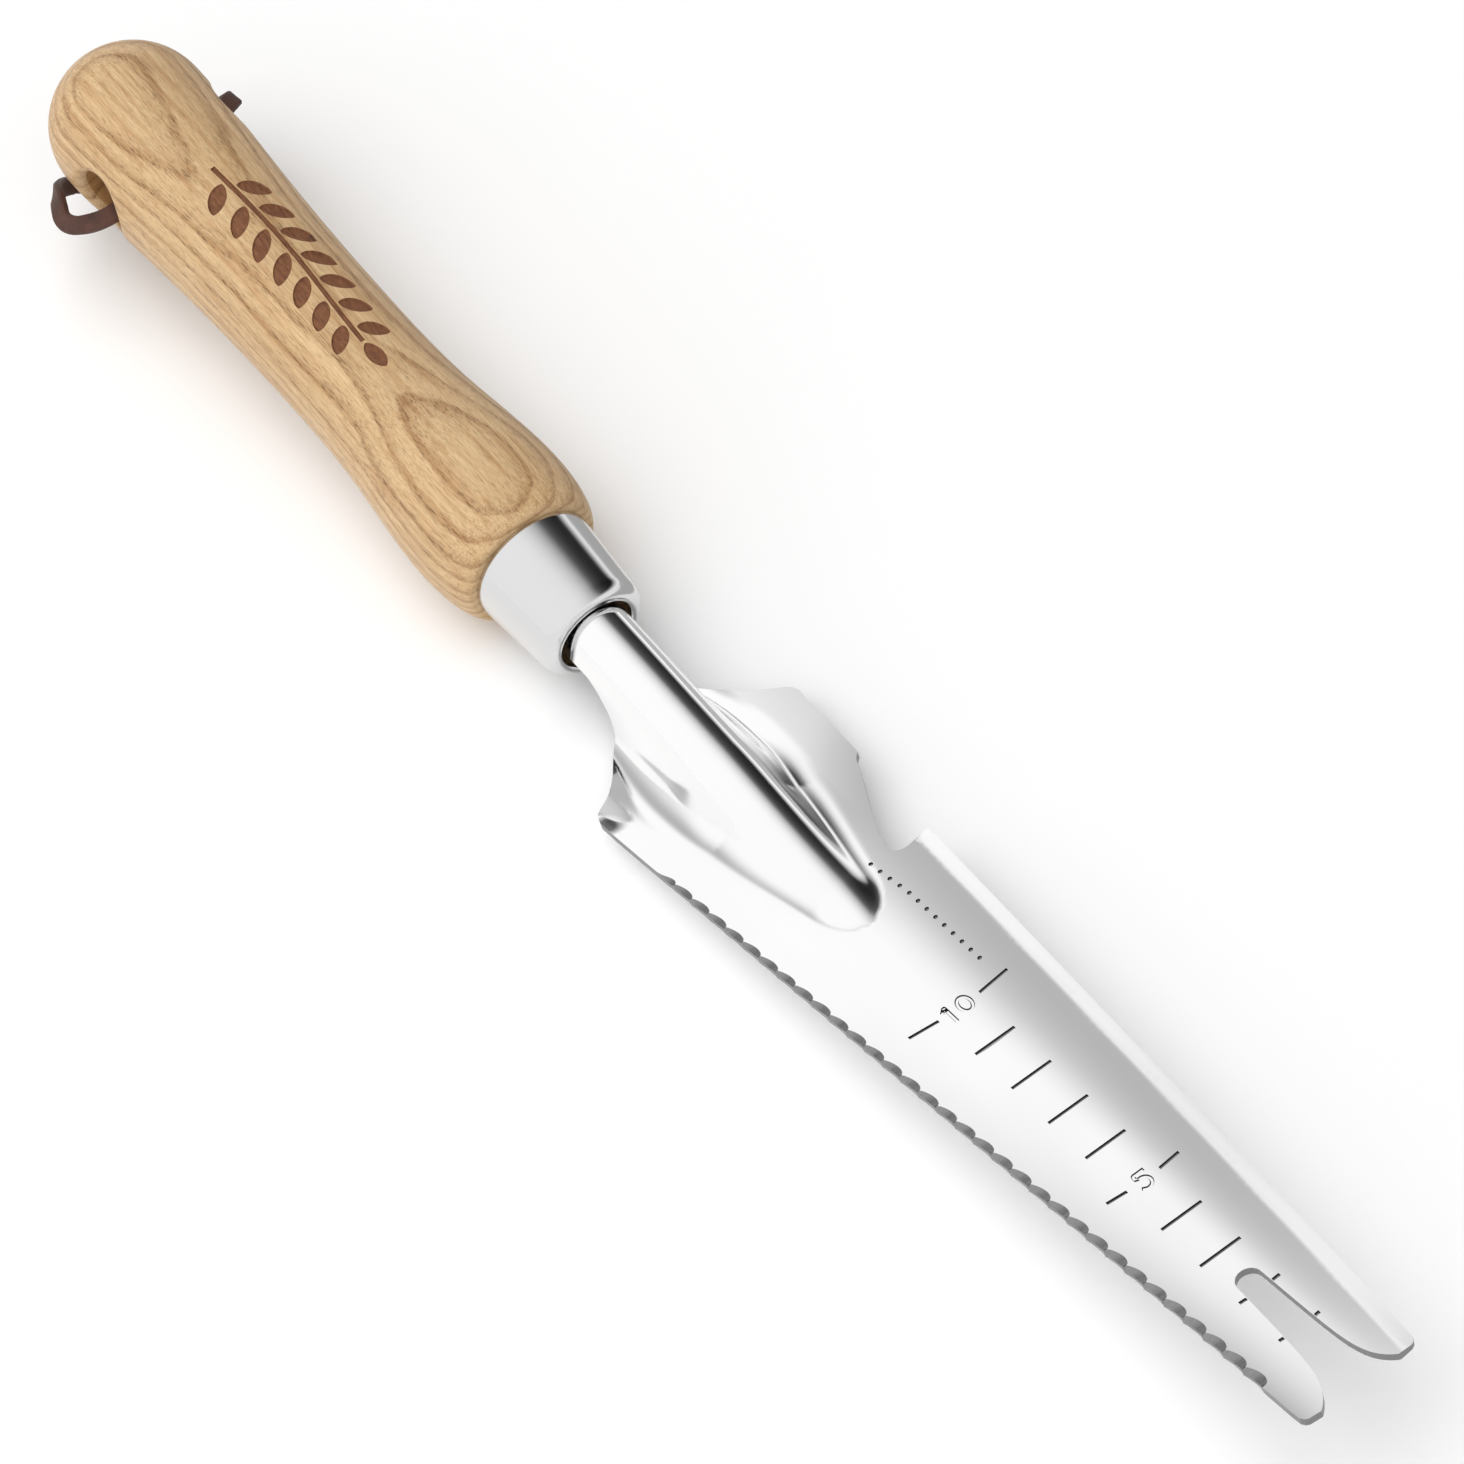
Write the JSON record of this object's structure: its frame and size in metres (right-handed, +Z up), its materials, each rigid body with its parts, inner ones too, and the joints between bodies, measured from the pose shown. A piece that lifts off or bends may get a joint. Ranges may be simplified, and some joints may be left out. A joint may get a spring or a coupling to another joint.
{
  "type": "hori hori knife",
  "caption": "Forked stainless weeding and planting blade with rule marks, a serrated edge and a twine notch, on a turned ash handle with a steel ferrule and a leather hanging thong.",
  "frame": {"origin": "on the table under the middle of the knife without its thong", "axes": "+X towards the blade's tip, +Z up from the table that the knife lies on, +Y towards the plain bevelled edge"},
  "size_m": [0.3759, 0.043, 0.0418],
  "materials": {
    "ash": "clear satin oil on turned ash, light honey with brown grain",
    "ferrule_steel": "polished stainless steel",
    "blade_steel": "mirror-polished stainless sheet with a finely ground edge",
    "tang_steel": "plain drawn stainless rod and its weld",
    "thong_leather": "dark brown flat leather strap"
  },
  "bodies": {
    "knife": {"handle": "ash", "ferrule": "ferrule_steel", "blade": "blade_steel", "tang": "tang_steel", "neck_weld": "tang_steel"},
    "thong": {"thong": "thong_leather", "thong_knot": "thong_leather"}
  },
  "joints": [
    {"name": "thong_swing", "type": "hinge", "parent": "knife", "child": "thong", "pos_m": [-0.15718, 0, 0.0254], "axis": [0, 1, 0], "range_deg": [-85, 185]}
  ]
}
